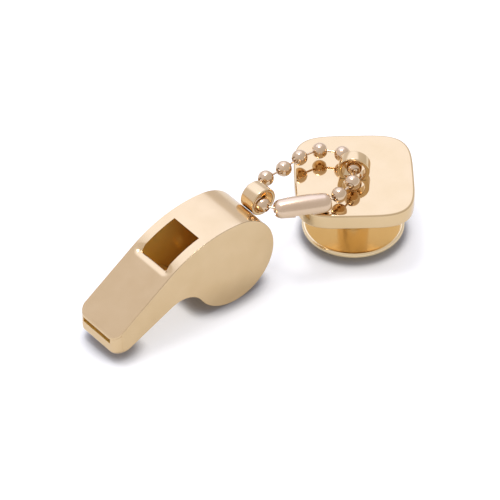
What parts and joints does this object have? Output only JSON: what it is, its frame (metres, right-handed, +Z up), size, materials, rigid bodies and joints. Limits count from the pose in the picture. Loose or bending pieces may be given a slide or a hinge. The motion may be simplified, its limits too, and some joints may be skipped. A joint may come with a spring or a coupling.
{
  "type": "pea whistle on a chained stud",
  "caption": "Polished metal pea whistle hung on a closed ball-chain loop from a cushion-square stud with a post and a round back that clamps cloth or leather.",
  "frame": {"origin": "centre of the flat foot under the stud's back, on the surface the part lies on", "axes": "+Z up along the stud's post, +X along the longest extent, away from the whistle, +Y square to both"},
  "size_m": [0.0497, 0.0376, 0.015],
  "materials": {
    "stud_metal": "polished",
    "chain_metal": "polished",
    "whistle_metal": "polished",
    "pea_metal": "satin"
  },
  "bodies": {
    "stud": {"stud_head": "stud_metal", "stud_post": "stud_metal", "stud_back": "stud_metal", "stud_ring": "stud_metal"},
    "loop_base": {"link_07_06": "chain_metal", "link_07_08": "chain_metal"},
    "bead_06": {"bead_06": "chain_metal"},
    "bead_07": {"bead_07": "chain_metal"},
    "bead_08": {"bead_08": "chain_metal"},
    "first_link": {"link_06_05": "chain_metal"},
    "upper_middle": {"link_05_04": "chain_metal", "link_04_03": "chain_metal"},
    "bead_05": {"bead_05": "chain_metal"},
    "bead_04": {"bead_04": "chain_metal"},
    "bead_03": {"bead_03": "chain_metal"},
    "upper_arm": {"link_03_02": "chain_metal", "link_02_01": "chain_metal"},
    "bead_02": {"bead_02": "chain_metal"},
    "whistle_link": {"link_01_10": "chain_metal"},
    "bead_01": {"bead_01": "chain_metal"},
    "bead_10": {"bead_10": "chain_metal"},
    "whistle": {"cheek_left": "whistle_metal", "cheek_right": "whistle_metal", "top_band": "whistle_metal", "mouth_sole": "whistle_metal", "windway_floor": "whistle_metal", "whistle_ring": "whistle_metal"},
    "pea": {"pea": "pea_metal"},
    "last_link": {"link_10_end_2": "chain_metal"},
    "end_bead_2": {"end_bead_2": "chain_metal"},
    "lower_arm": {"link_08_09": "chain_metal", "link_09_end_1": "chain_metal"},
    "bead_09": {"bead_09": "chain_metal"},
    "end_bead_1": {"end_bead_1": "chain_metal"},
    "connector": {"connector": "chain_metal"}
  },
  "joints": [
    {"name": "loop_swing", "type": "hinge", "parent": "stud", "child": "loop_base", "pos_m": [0, 0, 0.0125], "axis": [0.1392, 0.9903, 0], "range_deg": [0, 150]},
    {"name": "first_link_bend", "type": "hinge", "parent": "loop_base", "child": "first_link", "pos_m": [-0.0021, 0.00333, 0.01255], "axis": [0.0207, -0.0029, 0.9998], "range_deg": [-8, 8]},
    {"name": "upper_middle_bend", "type": "hinge", "parent": "first_link", "child": "upper_middle", "pos_m": [-0.00444, 0.00387, 0.0126], "axis": [0.0207, -0.0029, 0.9998], "range_deg": [-8, 8]},
    {"name": "upper_arm_bend", "type": "hinge", "parent": "upper_middle", "child": "upper_arm", "pos_m": [-0.01091, -0.00065, 0.01272], "axis": [0.0207, -0.0029, 0.9998], "range_deg": [-8, 8]},
    {"name": "whistle_link_bend", "type": "hinge", "parent": "upper_arm", "child": "whistle_link", "pos_m": [-0.01512, -0.00472, 0.0128], "axis": [0.0207, -0.0029, 0.9998], "range_deg": [-8, 8]},
    {"name": "last_link_bend", "type": "hinge", "parent": "whistle_link", "child": "last_link", "pos_m": [-0.01354, -0.00875, 0.01276], "axis": [0.0207, -0.0029, 0.9998], "range_deg": [-8, 8]},
    {"name": "end_bead_2_bend", "type": "hinge", "parent": "last_link", "child": "end_bead_2", "pos_m": [-0.0112, -0.00929, 0.0127], "axis": [0.0207, -0.0029, 0.9998], "range_deg": [-8, 8]},
    {"name": "lower_arm_bend", "type": "hinge", "parent": "loop_base", "child": "lower_arm", "pos_m": [-0.00061, -0.00394, 0.0125], "axis": [0.0207, -0.0029, 0.9998], "range_deg": [-8, 8]},
    {"name": "end_bead_1_bend", "type": "hinge", "parent": "lower_arm", "child": "end_bead_1", "pos_m": [-0.00482, -0.008, 0.01258], "axis": [0.0207, -0.0029, 0.9998], "range_deg": [-8, 8]},
    {"name": "whistle_swing", "type": "hinge", "parent": "whistle_link", "child": "whistle", "pos_m": [-0.01457, -0.00683, 0.01278], "axis": [0.6088, -0.7934, 0], "range_deg": [-90, 45]},
    {"name": "pea_roll", "type": "hinge", "parent": "whistle", "child": "pea", "pos_m": [-0.02089, -0.01167, 0.00734], "axis": [0.6088, -0.7934, 0], "continuous": true},
    {"name": "connector_spin", "type": "hinge", "parent": "end_bead_1", "child": "connector", "pos_m": [-0.00801, -0.00865, 0.01264], "axis": [-0.9802, -0.197, 0.0198], "continuous": true},
    {"name": "bead_01_spin", "type": "hinge", "parent": "whistle_link", "child": "bead_01", "pos_m": [-0.0152, -0.00526, 0.0128], "axis": [-0.1392, -0.9903, 0], "continuous": true},
    {"name": "bead_02_spin", "type": "hinge", "parent": "upper_arm", "child": "bead_02", "pos_m": [-0.01324, -0.00245, 0.01277], "axis": [-0.7192, -0.6947, 0.0129], "continuous": true},
    {"name": "bead_03_spin", "type": "hinge", "parent": "upper_middle", "child": "bead_03", "pos_m": [-0.0105, -0.00028, 0.01272], "axis": [-0.743, -0.6692, 0.0135], "continuous": true},
    {"name": "bead_04_spin", "type": "hinge", "parent": "upper_middle", "child": "bead_04", "pos_m": [-0.00805, 0.00221, 0.01267], "axis": [-0.7825, -0.6225, 0.0144], "continuous": true},
    {"name": "bead_05_spin", "type": "hinge", "parent": "upper_middle", "child": "bead_05", "pos_m": [-0.00498, 0.00379, 0.01261], "axis": [-0.9901, -0.1392, 0.0201], "continuous": true},
    {"name": "bead_06_spin", "type": "hinge", "parent": "loop_base", "child": "bead_06", "pos_m": [-0.00166, 0.00299, 0.01254], "axis": [-0.7932, 0.6087, 0.0182], "continuous": true},
    {"name": "bead_07_spin", "type": "hinge", "parent": "loop_base", "child": "bead_07", "pos_m": [0, 0, 0.0125], "axis": [0.1822, -0.9832, -0.0066], "continuous": true},
    {"name": "bead_08_spin", "type": "hinge", "parent": "loop_base", "child": "bead_08", "pos_m": [-0.0004, -0.00343, 0.0125], "axis": [-0.3826, -0.9239, 0.0052], "continuous": true},
    {"name": "bead_09_spin", "type": "hinge", "parent": "lower_arm", "child": "bead_09", "pos_m": [-0.00249, -0.00621, 0.01253], "axis": [-0.7192, -0.6947, 0.0129], "continuous": true},
    {"name": "bead_10_spin", "type": "hinge", "parent": "whistle_link", "child": "bead_10", "pos_m": [-0.01395, -0.00839, 0.01277], "axis": [0.7602, -0.6494, -0.0177], "continuous": true}
  ],
  "couplings": [
    {"joint": "upper_middle_bend", "follows": "first_link_bend", "ratio": -1},
    {"joint": "last_link_bend", "follows": "first_link_bend", "ratio": 1},
    {"joint": "end_bead_2_bend", "follows": "first_link_bend", "ratio": -1},
    {"joint": "whistle_link_bend", "follows": "upper_arm_bend", "ratio": -1},
    {"joint": "lower_arm_bend", "follows": "upper_arm_bend", "ratio": 1},
    {"joint": "end_bead_1_bend", "follows": "upper_arm_bend", "ratio": -1}
  ]
}
